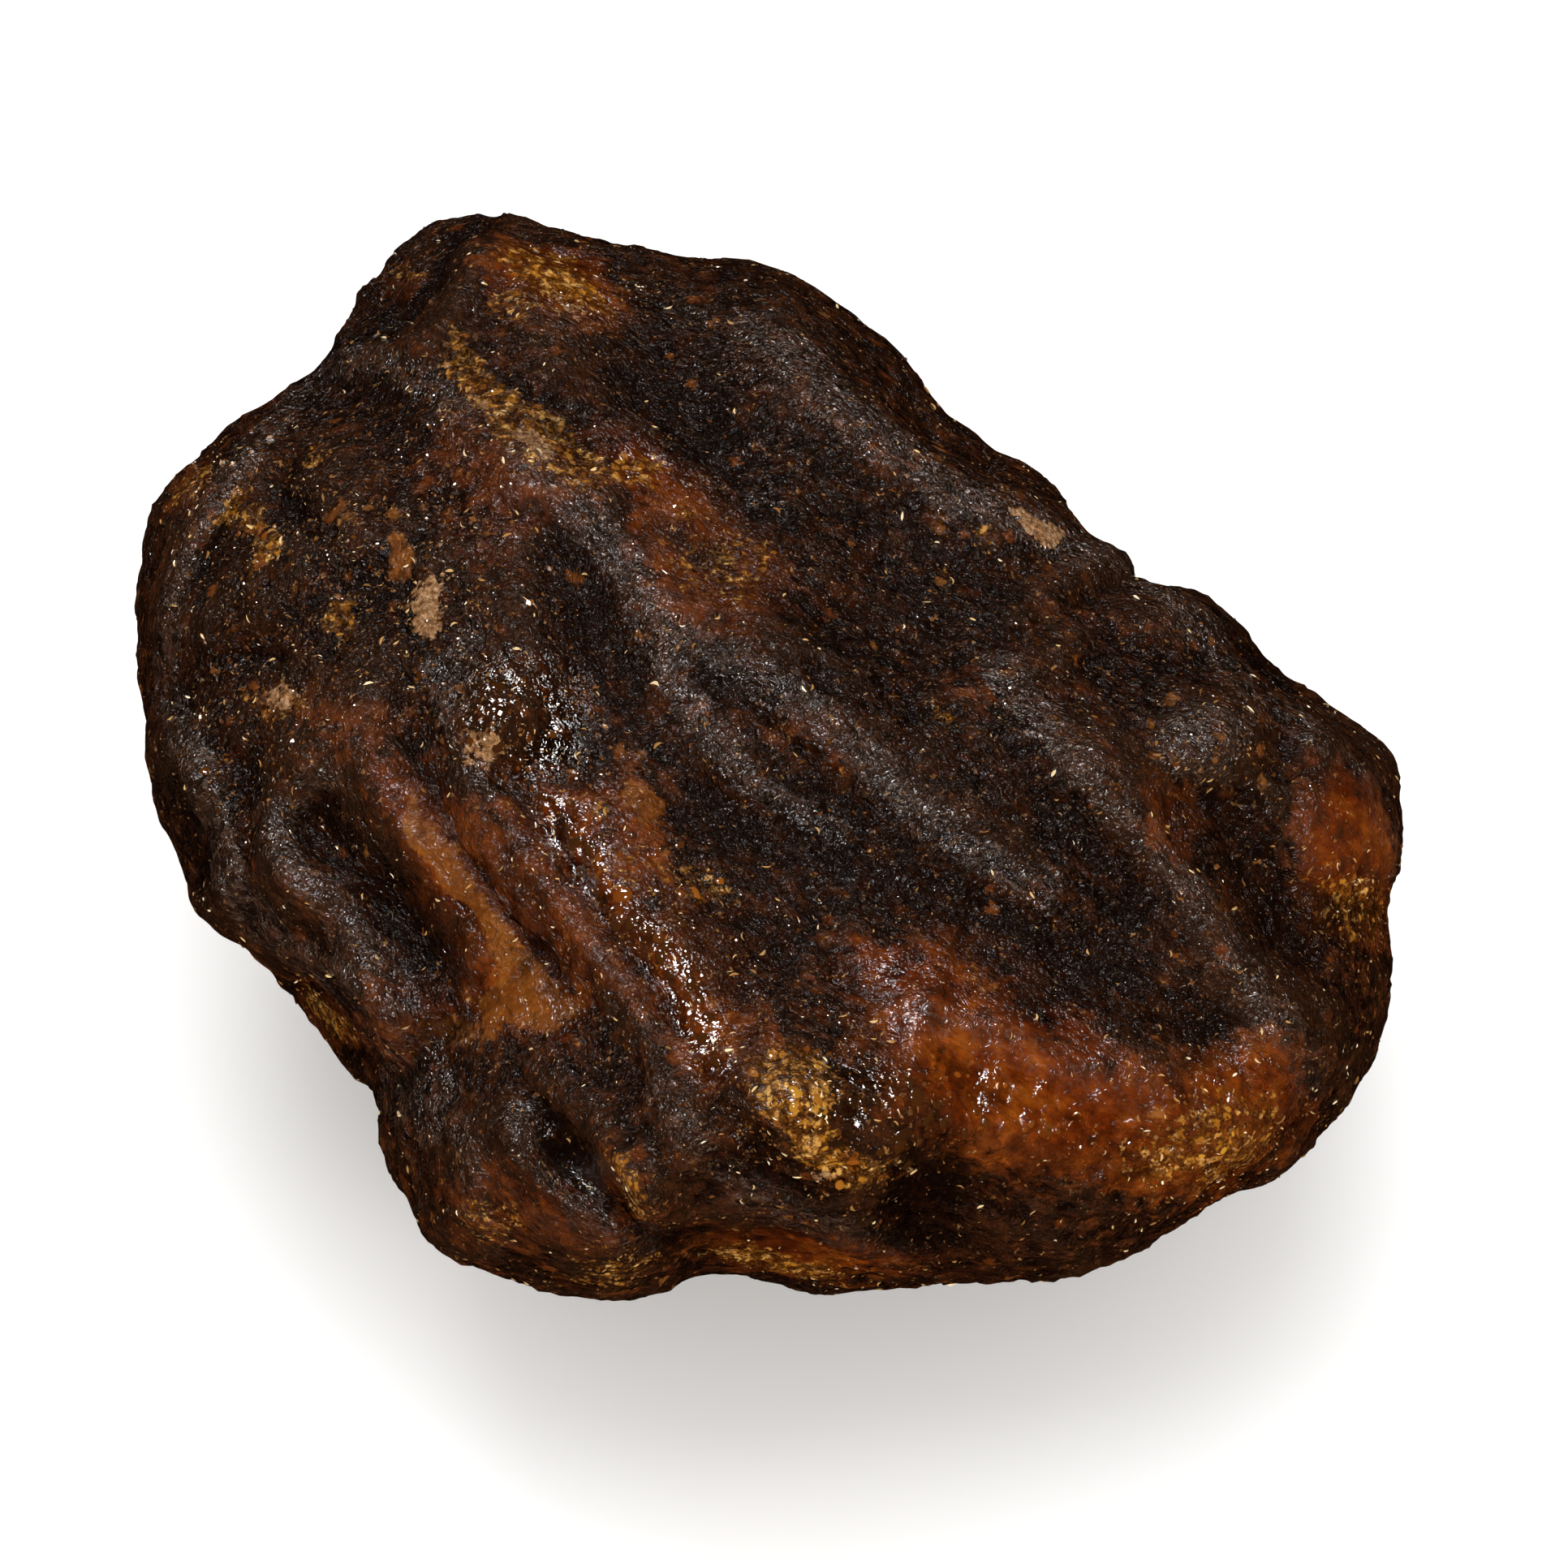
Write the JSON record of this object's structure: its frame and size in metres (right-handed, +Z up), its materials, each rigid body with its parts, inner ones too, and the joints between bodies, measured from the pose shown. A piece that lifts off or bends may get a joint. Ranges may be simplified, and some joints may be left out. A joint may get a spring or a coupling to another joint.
{
  "type": "raw amber piece",
  "caption": "Rough, rounded nugget of dark brown translucent amber with a weathered, wrinkled crust, folded ridges and grooves, lying on worn flats of its underside.",
  "frame": {"origin": "centre of the bounding box in plan, at the level of the surface the nugget rests on", "axes": "+Z up from the resting surface; +Y away from the low lip of the broad ridged face, towards the nugget's far side; +X to the right when looking along +Y"},
  "size_m": [0.0598, 0.0718, 0.0373],
  "materials": {
    "amber": "raw amber: dark brown crust over orange-brown translucent resin, semi-gloss"
  },
  "bodies": {
    "root": {"raw_amber_piece": "amber"}
  },
  "joints": []
}
